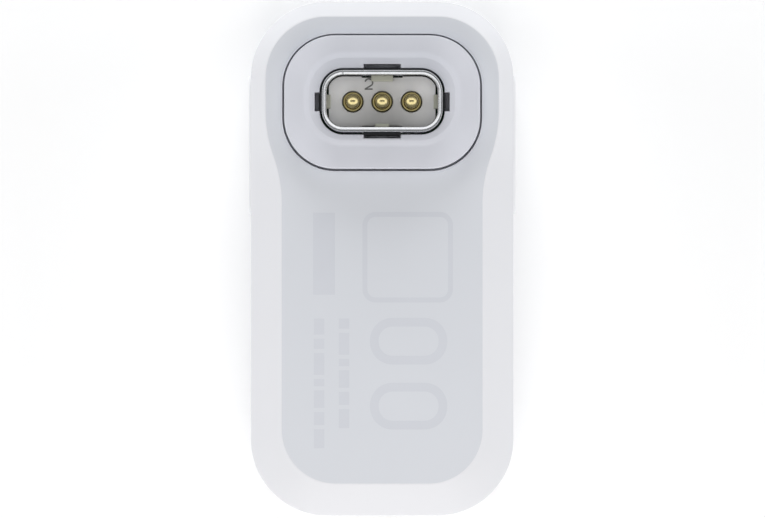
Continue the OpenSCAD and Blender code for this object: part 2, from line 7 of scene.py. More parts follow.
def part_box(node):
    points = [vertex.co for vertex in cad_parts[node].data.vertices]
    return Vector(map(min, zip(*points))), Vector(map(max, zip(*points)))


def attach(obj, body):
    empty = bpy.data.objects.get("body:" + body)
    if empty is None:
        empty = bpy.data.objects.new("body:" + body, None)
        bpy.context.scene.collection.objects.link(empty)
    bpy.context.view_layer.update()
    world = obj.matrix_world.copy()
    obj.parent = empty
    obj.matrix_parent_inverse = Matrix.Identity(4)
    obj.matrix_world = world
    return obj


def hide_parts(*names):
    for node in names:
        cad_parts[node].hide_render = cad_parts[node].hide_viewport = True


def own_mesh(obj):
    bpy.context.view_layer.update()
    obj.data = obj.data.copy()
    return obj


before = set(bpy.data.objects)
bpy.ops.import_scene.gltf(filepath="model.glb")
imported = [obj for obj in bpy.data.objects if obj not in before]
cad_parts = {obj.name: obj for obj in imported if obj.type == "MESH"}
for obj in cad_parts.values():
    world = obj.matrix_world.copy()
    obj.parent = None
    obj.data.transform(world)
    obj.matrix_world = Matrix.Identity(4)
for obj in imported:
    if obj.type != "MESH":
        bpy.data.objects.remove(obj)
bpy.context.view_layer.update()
print("frame loaded")

mm = 0.001  # every size below is in millimetres and is turned to metres when a piece is finished


def boxOf(node):
    low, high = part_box(node)
    return low / mm, high / mm


# where things are, read from the frame
caseLow, caseHigh = boxOf("upper_cover")
bossLow, bossHigh = boxOf("plug_boss")
shellLow, shellHigh = boxOf("plug_shell")
insulatorLow, insulatorHigh = boxOf("plug_insulator")
barrelLow, barrelHigh = boxOf("pin_barrel_2")
plungerLow, plungerHigh = boxOf("pin_plunger_2")
springLow, springHigh = boxOf("pin_spring_2")
portLow, portHigh = boxOf("usb_shell")
boardLow, boardHigh = boxOf("main_pcb")
halfWidth, halfLength, faceZ = caseHigh.x, caseHigh.y, caseHigh.z
plugY = (plungerLow.y + plungerHigh.y) / 2
pinXs = [(boxOf(f"pin_plunger_{i}")[0].x + boxOf(f"pin_plunger_{i}")[1].x) / 2 for i in (1, 2, 3)]

# camera: straight down on the plug face from far away, with the plug end at the top of the view
cameraSettings = {"x": 0.024, "y": -0.024, "height": 257.6, "lens": 171.8, "sensor": 36, "nearest": 10}
camera = bpy.data.objects.new("camera", bpy.data.cameras.new("camera"))
camera.location = (cameraSettings["x"] * mm, cameraSettings["y"] * mm, cameraSettings["height"] * mm)
camera.data.lens = cameraSettings["lens"]
camera.data.sensor_width = cameraSettings["sensor"]
camera.data.clip_start = cameraSettings["nearest"] * mm
bpy.context.scene.collection.objects.link(camera)
bpy.context.scene.camera = camera
bpy.context.scene.view_settings.view_transform = "Standard"


# shape helpers, all in millimetres
def arcPoints(centre, radius, start, end, steps):
    angles = [math.radians(start + (end - start) * i / steps) for i in range(steps + 1)]
    return [(centre[0] + radius * math.cos(a), centre[1] + radius * math.sin(a)) for a in angles]


def roundRect(width, length, radius, centre=(0, 0), steps=14):
    out = []
    for k, (sx, sy) in enumerate(((1, 1), (-1, 1), (-1, -1), (1, -1))):
        middle = (centre[0] + sx * (width / 2 - radius), centre[1] + sy * (length / 2 - radius))
        out += arcPoints(middle, radius, 90 * k, 90 * k + 90, steps)
    return out


def softPath(points, cuts, steps=5):
    # rounds each inner corner of a path, starting the given distance before it
    points = [Vector(p) for p in points]
    out = [points[0]]
    for a, b, c, cut in zip(points, points[1:], points[2:], cuts):
        p, q = b + (a - b).normalized() * cut, b + (c - b).normalized() * cut
        turn = [p.lerp(b, t / steps).lerp(b.lerp(q, t / steps), t / steps) for t in range(steps + 1)]
        out += turn if cut else [b]
    return out + [points[-1]]


pointGap = 0.0002  # points nearer than this are one point
smallestCap = 0.001  # an end ring narrower than this is already a point
smallestRadius = 0.01  # the tightest corner of a rounded outline


def ringFaces(bm, loops):
    for lower, upper in zip(loops, loops[1:]):
        for i in range(len(lower)):
            j = (i + 1) % len(lower)
            bm.faces.new((lower[i], lower[j], upper[j], upper[i]))


def skin(rings, closed=False):
    # a surface through rings of matching points; open ends are capped
    bm = bmesh.new()
    loops = [[bm.verts.new(p) for p in ring] for ring in rings]
    ringFaces(bm, loops + loops[:1] if closed else loops)
    if not closed:
        for loop in (loops[0], loops[-1]):
            if (loop[0].co - loop[len(loop) // 2].co).length > smallestCap:
                bm.faces.new(loop)
    bmesh.ops.remove_doubles(bm, verts=bm.verts, dist=pointGap)
    bmesh.ops.recalc_face_normals(bm, faces=bm.faces)
    return bm


def block(width, length, radius, path, centre=(0, 0), closed=False, steps=14):
    # a rounded rectangle swept through (inset, height) points
    rings = []
    for inset, z in path:
        corner = max(radius - inset, smallestRadius)
        outline = roundRect(width - 2 * inset, length - 2 * inset, corner, centre, steps)
        rings.append([(x, y, z) for x, y in outline])
    return skin(rings, closed)


def cuboid(low, high, edge=0.0):
    middle = ((low[0] + high[0]) / 2, (low[1] + high[1]) / 2)
    path = softPath([(edge * 2, low[2]), (0, low[2]), (0, high[2]), (edge * 2, high[2])], [edge] * 2, 3)
    if not edge:
        path = [(0, low[2]), (0, high[2])]
    return block(high[0] - low[0], high[1] - low[1], max(edge, 0.001), path, middle, steps=3 if edge else 1)


def lathe(path, centre, steps):
    rings = []
    for radius, z in path:
        rings.append([(x, y, z) for x, y in arcPoints(centre, radius, 0, 360, steps)[:-1]])
    return skin(rings)


def moved(bm, place):
    # puts a shape that was built upright where it belongs, by a rule for each of its points
    for v in bm.verts:
        v.co = place(v.co)
    bmesh.ops.recalc_face_normals(bm, faces=bm.faces)
    return bm


def gather(parts):
    whole = bmesh.new()
    for bm in parts:
        mesh = bpy.data.meshes.new("part")
        bm.to_mesh(mesh)
        bm.free()
        whole.from_mesh(mesh)
        bpy.data.meshes.remove(mesh)
    return whole


def objectFrom(name, bm):
    mesh = bpy.data.meshes.new(name)
    bm.to_mesh(mesh)
    bm.free()
    piece = bpy.data.objects.new(name, mesh)
    bpy.context.scene.collection.objects.link(piece)
    return piece


def applyModifiers(piece):
    graph = bpy.context.evaluated_depsgraph_get()
    mesh = bpy.data.meshes.new_from_object(piece.evaluated_get(graph))
    piece.modifiers.clear()
    piece.data = mesh


def carve(piece, cutters):
    tools = []
    for i, bm in enumerate(cutters):
        tool = objectFrom(f"cutter{i}", bm)
        step = piece.modifiers.new(f"cut{i}", "BOOLEAN")
        step.operation, step.solver, step.object = "DIFFERENCE", "EXACT", tool
        tools.append(tool)
    applyModifiers(piece)
    for tool in tools:
        bpy.data.objects.remove(tool)
    return piece


def finishPiece(piece, materials, replaced, slotName, body="adapter", sharpest=33, origin=(0, 0, 0)):
    materials = materials if isinstance(materials, list) else [materials]
    for material in materials:
        piece.data.materials.append(material)
    for v in piece.data.vertices:
        v.co = (v.co - Vector(origin)) * mm
    piece.location = Vector(origin) * mm
    piece.data.shade_smooth()
    piece.data.set_sharp_from_angle(angle=math.radians(sharpest))
    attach(piece, body)
    if replaced:
        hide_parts(*replaced)
    return piece


# materials: sRGB hex colours are turned to linear here
def linear(hexCode):
    parts = [int(hexCode[i:i + 2], 16) / 255 for i in (1, 3, 5)]
    return tuple(c / 12.92 if c <= 0.04045 else ((c + 0.055) / 1.055) ** 2.4 for c in parts) + (1,)


def addNode(tree, kind, settings=None, links=None):
    node = tree.nodes.new("ShaderNode" + kind)
    for key, value in (settings or {}).items():
        if isinstance(key, int) or key in node.inputs:
            node.inputs[key].default_value = value
        else:
            setattr(node, key, value)
    for key, source in (links or {}).items():
        tree.links.new(source, node.inputs[key])
    return node


def startMaterial(name, settings):
    material = bpy.data.materials.new(name)
    material.use_nodes = True
    tree = material.node_tree
    tree.nodes.clear()
    shader = addNode(tree, "BsdfPrincipled", settings)
    addNode(tree, "OutputMaterial", None, {"Surface": shader.outputs["BSDF"]})
    place = addNode(tree, "TexCoord").outputs["Object"]
    return material, tree, shader, place


def perMetre(size):
    return 1 / (size * mm)  # a pattern's scale from its real size in millimetres


def fineGrain(name, look, settings):
    # moulded or plated surfaces: a slow drift of colour, fine grain in roughness and height
    material, tree, shader, place = startMaterial(name, settings)
    spread = addNode(tree, "Mapping", {"Scale": look.get("stretch", (1, 1, 1))}, {"Vector": place})
    drift = addNode(tree, "TexNoise", {"Scale": perMetre(look["driftSize"]), "Detail": 3.0}, {"Vector": place})
    # a Mix node keeps its two colours in inputs 6 and 7, and gives their mixture at output 2
    blend = addNode(tree, "Mix", {"data_type": "RGBA", 6: linear(look["colour"]), 7: linear(look["tint"])},
                    {"Factor": drift.outputs["Fac"]})
    tree.links.new(blend.outputs[2], shader.inputs["Base Color"])
    grain = addNode(tree, "TexNoise", {"Scale": perMetre(look["grainSize"]), "Detail": 2.0},
                    {"Vector": spread.outputs["Vector"]})
    low, high = look["roughness"]
    rough = addNode(tree, "MapRange", {"To Min": low, "To Max": high}, {"Value": grain.outputs["Fac"]})
    tree.links.new(rough.outputs["Result"], shader.inputs["Roughness"])
    bump = addNode(tree, "Bump", {"Strength": 0.5, "Distance": look["depth"] * mm},
                   {"Height": grain.outputs["Fac"]})
    tree.links.new(bump.outputs["Normal"], shader.inputs["Normal"])
    return material


# Sizes are in millimetres. Moulding grain, draw lines and turning rings are really 0.01 to 0.05 mm
# and too fine to show, so they are drawn two to five times as coarse.

# polycarbonate-ABS moulded in a spark-eroded tool: an even satin white, very finely grained, given a greyer colour
# than the rim as painted shade
sparkErodedShadedFace = fineGrain("sparkErodedShadedFace", {
    "colour": "#d2d5db", "tint": "#d6d9df", "driftSize": 9, "grainSize": 0.14, "depth": 0.004,
    "roughness": (0.5, 0.6)}, {"IOR": 1.57, "Specular IOR Level": 0.5})
# the same plastic from a drawn-stone finish: smoother along the sloping rim and walls, and given a brighter colour
# there as painted light
stoneFinishLitRim = fineGrain("stoneFinishLitRim", {
    "colour": "#e3e4e8", "tint": "#e6e7eb", "driftSize": 9, "grainSize": 0.2, "depth": 0.002,
    "roughness": (0.38, 0.46)}, {"IOR": 1.57, "Specular IOR Level": 0.5})
# the boss is moulded apart from a slightly greyer batch, satin
satinBoss = fineGrain("satinBoss", {
    "colour": "#d4d6de", "tint": "#d7d9e1", "driftSize": 5, "grainSize": 0.12, "depth": 0.003,
    "roughness": (0.42, 0.52)}, {"IOR": 1.57})
# soft-touch thermoplastic elastomer, dead matt
softTouchPad = fineGrain("softTouchPad", {
    "colour": "#f7f7f9", "tint": "#f0f1f4", "driftSize": 4, "grainSize": 0.1, "depth": 0.006,
    "roughness": (0.66, 0.78)}, {"IOR": 1.5, "Sheen Weight": 0.1})
# deep-drawn stainless steel, tumbled and polished: clear highlights with faint draw lines
drawnStainless = fineGrain("drawnStainless", {
    "colour": "#e4e5e7", "tint": "#d9dbde", "driftSize": 1.5, "grainSize": 0.09, "depth": 0.001,
    "stretch": (1, 1, 0.12), "roughness": (0.16, 0.26)}, {"Metallic": 1.0})
# spring steel coloured a dull near-black as painted shade, so the notches read as black
paintedShadeFingerSteel = fineGrain("paintedShadeFingerSteel", {
    "colour": "#101113", "tint": "#0b0c0d", "driftSize": 0.8, "grainSize": 0.06, "depth": 0.001,
    "roughness": (0.5, 0.62)}, {"IOR": 1.35, "Specular IOR Level": 0.15})
# nickel-plated stamped steel: greyer than the plug, with lines along its depth
platedPort = fineGrain("platedPort", {
    "colour": "#c2c4c6", "tint": "#b4b7ba", "driftSize": 2.0, "grainSize": 0.1, "depth": 0.0012,
    "stretch": (0.15, 1, 1), "roughness": (0.22, 0.34)}, {"Metallic": 1.0})
# stamped stainless steel, bare: a dull even grey between the contacts
stampedPlate = fineGrain("stampedPlate", {
    "colour": "#aeb1b4", "tint": "#a2a5a9", "driftSize": 1.2, "grainSize": 0.08, "depth": 0.001,
    "roughness": (0.3, 0.4)}, {"Metallic": 1.0})
# glass-filled nylon, moulded: nearly black and slightly mottled, with a low sheen
darkNylon = fineGrain("darkNylon", {
    "colour": "#1b1c1e", "tint": "#232427", "driftSize": 0.8, "grainSize": 0.05, "depth": 0.002,
    "roughness": (0.48, 0.62)}, {"IOR": 1.53})
# hard gold flash over nickel: a warm yellow with soft highlights
flashGold = fineGrain("flashGold", {
    "colour": "#d9b25c", "tint": "#c99f4c", "driftSize": 0.6, "grainSize": 0.05, "depth": 0.0008,
    "roughness": (0.2, 0.3)}, {"Metallic": 1.0})
# drawn music wire: bright grey, streaked by the die
springSteel = fineGrain("springSteel", {
    "colour": "#b0b2b5", "tint": "#9b9ea2", "driftSize": 0.5, "grainSize": 0.04, "depth": 0.0006,
    "roughness": (0.25, 0.36)}, {"Metallic": 1.0})
# tin-silver solder, bright with a faint crystalline skin
tinSolder = fineGrain("tinSolder", {
    "colour": "#c8cacd", "tint": "#b2b5b9", "driftSize": 0.4, "grainSize": 0.09, "depth": 0.004,
    "roughness": (0.18, 0.34)}, {"Metallic": 1.0})
# cured acrylate bead: cloudy white with a wet gloss
curedAdhesive = fineGrain("curedAdhesive", {
    "colour": "#d6d8da", "tint": "#c8cbcd", "driftSize": 2.0, "grainSize": 0.3, "depth": 0.01,
    "roughness": (0.25, 0.4)}, {"IOR": 1.5})
# printed resistor glass on alumina: black with a glassy gloss
filmResistor = fineGrain("filmResistor", {
    "colour": "#141416", "tint": "#1e1f22", "driftSize": 0.4, "grainSize": 0.04, "depth": 0.002,
    "roughness": (0.35, 0.5)}, {"IOR": 1.6})
# transfer-moulded epoxy: black and dull, faintly pitted
epoxyBody = fineGrain("epoxyBody", {
    "colour": "#17181a", "tint": "#202124", "driftSize": 0.6, "grainSize": 0.05, "depth": 0.004,
    "roughness": (0.5, 0.65)}, {"IOR": 1.55})
# fired barium titanate ceramic: tan, fine and slightly waxy
tanCeramic = fineGrain("tanCeramic", {
    "colour": "#b09266", "tint": "#a0835a", "driftSize": 0.5, "grainSize": 0.06, "depth": 0.003,
    "roughness": (0.4, 0.55)}, {"IOR": 1.7})
# sawn glass-epoxy laminate: dull green with a fibrous mottle
fuseLaminate = fineGrain("fuseLaminate", {
    "colour": "#33502f", "tint": "#3d5c38", "driftSize": 0.7, "grainSize": 0.08, "depth": 0.003,
    "roughness": (0.35, 0.5)}, {"IOR": 1.55})


def goldTurning(name, look, settings):
    # hard gold over turned brass: fine rings round the pin's own axis, worn paler on top
    material, tree, shader, place = startMaterial(name, settings)
    flat = addNode(tree, "VectorMath", {"operation": "MULTIPLY", 1: (1, 1, 0)}, {"Vector": place})
    radius = addNode(tree, "VectorMath", {"operation": "LENGTH"}, {"Vector": flat.outputs["Vector"]})
    turns = addNode(tree, "Math", {"operation": "MULTIPLY", 1: 2 * math.pi * perMetre(look["ringSize"])},
                    {0: radius.outputs["Value"]})
    wave = addNode(tree, "Math", {"operation": "SINE"}, {0: turns.outputs["Value"]})
    stain = addNode(tree, "TexNoise", {"Scale": perMetre(look["driftSize"]), "Detail": 4.0}, {"Vector": place})
    blend = addNode(tree, "Mix", {"data_type": "RGBA", 6: linear(look["colour"]), 7: linear(look["tint"])},
                    {"Factor": stain.outputs["Fac"]})
    tree.links.new(blend.outputs[2], shader.inputs["Base Color"])
    low, high = look["roughness"]
    rough = addNode(tree, "MapRange", {"To Min": low, "To Max": high}, {"Value": stain.outputs["Fac"]})
    tree.links.new(rough.outputs["Result"], shader.inputs["Roughness"])
    bump = addNode(tree, "Bump", {"Strength": 0.5, "Distance": look["depth"] * mm},
                   {"Height": wave.outputs["Value"]})
    tree.links.new(bump.outputs["Normal"], shader.inputs["Normal"])
    return material


# the barrels are turned first and plated thinly: a greenish, darker gold
turnedGoldBarrel = goldTurning("turnedGoldBarrel", {
    "colour": "#b4a97a", "tint": "#9b8f62", "driftSize": 0.5, "ringSize": 0.05, "depth": 0.0012,
    "roughness": (0.24, 0.36)}, {"Metallic": 1.0})
# the tips are burnished and plated thickly: pale bright gold with a sharp highlight
turnedGoldTip = goldTurning("turnedGoldTip", {
    "colour": "#eadca8", "tint": "#d8c68c", "driftSize": 0.35, "ringSize": 0.08, "depth": 0.0006,
    "roughness": (0.13, 0.21)}, {"Metallic": 1.0})


def milkyNylonPaintedShade(look):
    # natural nylon, moulded: clouded and slightly see-through, with painted shade that makes it darker grey in the
    # middle and towards -Y, and lighter towards +Y and towards the ends
    material, tree, shader, place = startMaterial("milkyNylonPaintedShade", {
        "IOR": 1.53, "Subsurface Weight": 0.12, "Subsurface Scale": 0.6 * mm,
        "Subsurface Radius": (1.0, 0.95, 0.8)})
    axes = addNode(tree, "SeparateXYZ", None, {0: place})
    # painted shade: the colour runs from the darker grey at -Y and in the middle to white at +Y and at the ends
    rise = addNode(tree, "MapRange", {"From Min": (plugY - look["halfLength"]) * mm,
                                      "From Max": (plugY + look["halfLength"]) * mm}, {"Value": axes.outputs["Y"]})
    side = addNode(tree, "Math", {"operation": "ABSOLUTE"}, {0: axes.outputs["X"]})
    start, end = look["endLightFrom"]
    edge = addNode(tree, "MapRange", {"From Min": start * mm, "From Max": end * mm}, {"Value": side.outputs[0]})
    cloud = addNode(tree, "TexNoise", {"Scale": perMetre(look["cloudSize"]), "Detail": 3.0}, {"Vector": place})
    lit = addNode(tree, "Math", {"operation": "MULTIPLY", 1: look["topLightShare"]}, {0: rise.outputs[0]})
    wide = addNode(tree, "Math", {"operation": "MULTIPLY_ADD", 1: look["endLightShare"]},
                   {0: edge.outputs[0], 2: lit.outputs[0]})
    mixed = addNode(tree, "Math", {"operation": "MULTIPLY_ADD", 1: look["cloudShare"], "use_clamp": True},
                    {0: cloud.outputs["Fac"], 2: wide.outputs[0]})
    blend = addNode(tree, "Mix", {"data_type": "RGBA", 6: linear(look["deep"]), 7: linear(look["clear"])},
                    {"Factor": mixed.outputs[0]})
    tree.links.new(blend.outputs[2], shader.inputs["Base Color"])
    rough = addNode(tree, "MapRange", {"To Min": 0.28, "To Max": 0.42}, {"Value": cloud.outputs["Fac"]})
    tree.links.new(rough.outputs[0], shader.inputs["Roughness"])
    flow = addNode(tree, "TexNoise", {"Scale": perMetre(look["flowSize"]), "Detail": 2.0}, {"Vector": place})
    bump = addNode(tree, "Bump", {"Strength": 0.4, "Distance": look["depth"] * mm}, {"Height": flow.outputs["Fac"]})
    tree.links.new(bump.outputs["Normal"], shader.inputs["Normal"])
    return material


# the insulator's nylon, carrying the painted shade of its recess
milkyNylonBlock = milkyNylonPaintedShade({
    "cloudSize": 1.6, "deep": "#abaaa8", "clear": "#ffffff", "halfLength": 1.6, "endLightFrom": (1.2, 3.6),
    "topLightShare": 0.55, "endLightShare": 0.55, "cloudShare": 0.25, "flowSize": 0.25, "depth": 0.004})
# the tabs are thin, so the resin's own yellow shows
paleNylonTab = fineGrain("paleNylonTab", {
    "colour": "#cdcebe", "tint": "#c2c3b4", "driftSize": 1.0, "grainSize": 0.12, "depth": 0.003,
    "roughness": (0.3, 0.42)}, {"IOR": 1.53})
# the same nylon on the raised number, coloured grey as painted shade for its small sloping sides
digitShade = fineGrain("digitShade", {
    "colour": "#777876", "tint": "#6d6e6c", "driftSize": 1.0, "grainSize": 0.1, "depth": 0.002,
    "roughness": (0.35, 0.5)}, {"IOR": 1.53})
# pad-printing ink, thin and pale: only just greyer than the plastic
padInk = fineGrain("padInk", {
    "colour": "#cccfd6", "tint": "#d0d3da", "driftSize": 3.0, "grainSize": 0.16, "depth": 0.003,
    "roughness": (0.45, 0.55)}, {"IOR": 1.5})


def solderMask(look):
    # green solder mask over woven glass laminate: the weave shows as a faint square pattern
    material, tree, shader, place = startMaterial("solderMask", {"IOR": 1.5, "Coat Weight": 0.2})
    weave = []
    for axis in ("X", "Y"):
        bands = addNode(tree, "TexWave", {
            "bands_direction": axis, "Scale": perMetre(look["threadSize"]) / 2, "Distortion": 0.4, "Detail": 1.0},
            {"Vector": place})
        weave.append(bands.outputs["Fac"])
    crossing = addNode(tree, "Math", {"operation": "MULTIPLY"}, {0: weave[0], 1: weave[1]})
    blend = addNode(tree, "Mix", {"data_type": "RGBA", 6: linear(look["colour"]), 7: linear(look["thread"])},
                    {"Factor": crossing.outputs[0]})
    tree.links.new(blend.outputs[2], shader.inputs["Base Color"])
    rough = addNode(tree, "MapRange", {"To Min": 0.25, "To Max": 0.4}, {"Value": crossing.outputs[0]})
    tree.links.new(rough.outputs[0], shader.inputs["Roughness"])
    bump = addNode(tree, "Bump", {"Strength": 0.5, "Distance": look["depth"] * mm}, {"Height": crossing.outputs[0]})
    tree.links.new(bump.outputs["Normal"], shader.inputs["Normal"])
    return material


greenSolderMask = solderMask({"threadSize": 0.4, "depth": 0.004, "colour": "#0d4a2b", "thread": "#145a35"})
print("materials made")

# cover: plug face, sloping rim and the band down to the seam
cover = {"cornerR": 5.25, "seamZ": 5.8, "rimZ": 6.1, "headRim": 1.01, "endRim": 1.08, "sideRim": 2.12,
         "tailRim": 2.24, "headR": 4.25, "tailR": 3.75, "neckFromEnd": 7.5, "neckLength": 6.44, "ceilingZ": 6.6,
         "skirtOut": 0.65, "skirtIn": 1.45, "skirtEdge": 0.1, "rimEdge": 0.09, "bandEdge": 0.1, "seamEdge": 0.1,
         "faceBorder": 0.25, "openingGap": 0.15, "openingEdge": 0.05, "openingBorder": 0.3, "arcSteps": 22,
         "neckSteps": 14, "openingSteps": 16}
boss = {"width": 13.38, "length": 9.1, "cornerR": 3.48, "landRise": 0.12, "edge": 0.1, "landWidth": 10.74,
        "landLength": 6.42, "landR": 2.75, "landShift": 0.2, "slope": 0.39, "landFoot": 0.12, "landEdge": 0.04,
        "boreWidth": 8.54, "boreLength": 4.54, "boreR": 1.62, "boreShift": 0.04, "boreEdge": 0.02,
        "notchLong": 2.54, "notchEnd": 1.29, "notchOut": 0.27, "notchEndOut": 0.34, "notchDepth": 1.3,
        "notchOverlap": 0.6, "flange": 0.45, "steps": 18}
clear = 1.0  # how far a cutting shape runs past the surface that it cuts


def mirrored(half):
    return half + [(-x, y) for x, y in reversed(half)]


def coverOutlines(c):
    headX, tailX = halfWidth - c["headRim"], halfWidth - c["sideRim"]
    top, tail = halfLength - c["endRim"], -halfLength + c["tailRim"]
    neckTop = halfLength - c["neckFromEnd"]
    inward = headX - tailX
    radius = (c["neckLength"] ** 2 + inward ** 2) / (4 * inward)
    turn = math.degrees(math.asin(c["neckLength"] / (2 * radius)))
    n, k = c["arcSteps"], c["neckSteps"]
    neck = arcPoints((headX - radius, neckTop), radius, 0, -turn, k)
    neck += arcPoints((tailX + radius, neckTop - c["neckLength"]), radius, 180 - turn, 180, k)[1:]
    face = arcPoints((headX - c["headR"], top - c["headR"]), c["headR"], 90, 0, n) + neck
    face += arcPoints((tailX - c["tailR"], tail + c["tailR"]), c["tailR"], 0, -90, n)

    def wallOutline(inset):
        r = c["cornerR"] - inset
        half = arcPoints((halfWidth - c["cornerR"], halfLength - c["cornerR"]), r, 90, 0, n)
        half += [(halfWidth - inset, y) for x, y in neck]
        return mirrored(half + arcPoints((halfWidth - c["cornerR"], c["cornerR"] - halfLength), r, 0, -90, n))
    return mirrored(face), wallOutline


def shrunk(outline, distance):
    # moves a clockwise outline inwards along its own normals
    out = []
    for i, p in enumerate(outline):
        a, b = outline[i - 1], outline[(i + 1) % len(outline)]
        forward = Vector((b[0] - a[0], b[1] - a[1])).normalized()
        out.append((p[0] + forward.y * distance, p[1] - forward.x * distance))
    return out


def fillBetween(bm, outer, inner):
    edges = []
    for loop in (outer, inner):
        edges += [bm.edges.get((loop[i], loop[(i + 1) % len(loop)])) for i in range(len(loop))]
    bmesh.ops.triangle_fill(bm, use_beauty=True, use_dissolve=False, edges=edges)


def makeCover(c, b):
    face, wallOutline = coverOutlines(c)
    faceIn = shrunk(face, c["faceBorder"])
    skirtIn, skirtOut, wall = wallOutline(c["skirtIn"]), wallOutline(c["skirtOut"]), wallOutline(0)
    skirtZ = caseLow.z
    cuts = [c["skirtEdge"], c["skirtEdge"], 0, c["seamEdge"], c["bandEdge"], c["rimEdge"]]
    columns = []
    for i in range(len(face)):
        columns.append(softPath([
            (*skirtIn[i], c["ceilingZ"]), (*skirtIn[i], skirtZ), (*skirtOut[i], skirtZ), (*skirtOut[i], c["seamZ"]),
            (*wall[i], c["seamZ"]), (*wall[i], c["rimZ"]), (*face[i], faceZ), (*faceIn[i], faceZ)], cuts))
    bm = bmesh.new()
    loops = [[bm.verts.new(column[k]) for column in columns] for k in range(len(columns[0]))]
    ringFaces(bm, loops)
    gap, opening = c["openingGap"], []
    mouth = [(-c["openingBorder"], faceZ), (0, faceZ), (0, c["ceilingZ"])]
    for inset, z in softPath(mouth, [c["openingEdge"]], 4):
        grow = gap - inset
        outline = roundRect(b["width"] + 2 * grow, b["length"] + 2 * grow, b["cornerR"] + grow, (0, plugY),
                            c["openingSteps"])
        opening.append([bm.verts.new((x, y, z)) for x, y in outline])
    ringFaces(bm, opening)
    fillBetween(bm, loops[-1], opening[0])
    fillBetween(bm, loops[0], opening[-1])
    bmesh.ops.recalc_face_normals(bm, faces=bm.faces)
    for f in bm.faces:
        flat = abs(f.normal.z) > 0.99 and f.calc_center_median().z > faceZ - 0.01
        # the face's material is also greyer than the rim's: painted shade on the face, painted light on the rim
        f.material_index = 0 if flat else 1  # the flat face has the coarser grain
    return objectFrom("coverMoulding", bm)


coverPiece = makeCover(cover, boss)
finishPiece(coverPiece, [sparkErodedShadedFace, stoneFinishLitRim], ["upper_cover"], "cover_plastic", sharpest=40)
print("cover made")

# lower case: tray with a rounded front edge, rebated mouth, pad pockets and port opening
tray = {"wall": 1.2, "floor": 1.2, "frontEdge": 1.2, "rebateWidth": 0.6, "rebateDepth": 0.9, "mouthEdge": 0.1,
        "seamGap": 0.01, "portGap": 0.1, "portLip": 0.18, "portEdge": 0.08, "portDepth": 2.5,
        "padInlay": 0.4, "padGap": 0.04, "flatInset": 3.0}
pads = {"cornerR": 0.8, "edge": 0.14}
port = {"height": 3.16, "wall": 0.3, "edge": 0.1, "legs": (0.3, 1.0), "legFront": 3.7, "legBack": 1.2,
        "legEdge": 0.06}
padLow, padHigh = boxOf("grip_pad_right")


def quarterEdge(radius, steps=10):
    # the rounded front edge as (inset, height) points, from the flat face up to the wall
    return [(radius * (1 - math.sin(a)), radius * (1 - math.cos(a)))
            for a in (math.radians(90 * i / steps) for i in range(steps + 1))]


def padShape(side, grow, low, high, edge):
    # a pad lying on the case's side, from low to high across X
    width, height = padHigh.y - padLow.y + 2 * grow, padHigh.z - padLow.z + 2 * grow
    path = softPath([(0, low), (0, high), (width / 8, high)], [edge] if edge else [0], 6)
    bm = block(width, height, pads["cornerR"] + grow, path, steps=10)
    middle = Vector(((padLow.y + padHigh.y) / 2, (padLow.z + padHigh.z) / 2))
    return moved(bm, lambda p: Vector((side * p.z, middle.x + p.x, middle.y + p.y)))


def makeTray(t):
    wide, long = 2 * halfWidth, 2 * halfLength
    seam, rebateZ = cover["seamZ"], cover["seamZ"] - t["rebateDepth"]
    r = cover["cornerR"]
    mouthZ = seam - t["seamGap"]
    outer = [(t["flatInset"], 0)] + quarterEdge(t["frontEdge"])
    outer += softPath([(0, seam - 1), (0, mouthZ), (t["rebateWidth"], mouthZ)], [t["mouthEdge"]], 4)
    inner = [(t["rebateWidth"], rebateZ), (t["wall"], rebateZ), (t["wall"], t["floor"]),
             (t["flatInset"], t["floor"])]
    piece = objectFrom("trayMoulding", block(wide, long, r, outer + inner, steps=20))
    h, w = port["height"] + 2 * t["portGap"], portHigh.x - portLow.x + 2 * t["portGap"]
    centreZ = boardLow.z - port["height"] / 2
    lip = t["portLip"]
    path = [(-2 * lip, clear / 2), (-2 * lip, 0)]
    path += softPath([(-lip, 0), (0, -lip), (0, -t["portDepth"])], [t["portEdge"]], 4)
    hole = moved(block(w, h, h / 2 - 0.001, path, steps=16),
                 lambda p: Vector((p.x, -halfLength - p.z, centreZ + p.y)))
    pocket = halfWidth - t["padInlay"]
    return carve(piece, [hole] + [padShape(s, t["padGap"], pocket, halfWidth + clear, 0) for s in (-1, 1)])


trayPiece = makeTray(tray)
finishPiece(trayPiece, stoneFinishLitRim, ["lower_case"], "case_plastic", sharpest=40)
for side, node in ((-1, "grip_pad_left"), (1, "grip_pad_right")):
    padPiece = objectFrom("padLeft" if side < 0 else "padRight",
                          padShape(side, 0, halfWidth - tray["padInlay"], padHigh.x, pads["edge"]))
    finishPiece(padPiece, softTouchPad, [node], "pad_plastic")
print("case made")


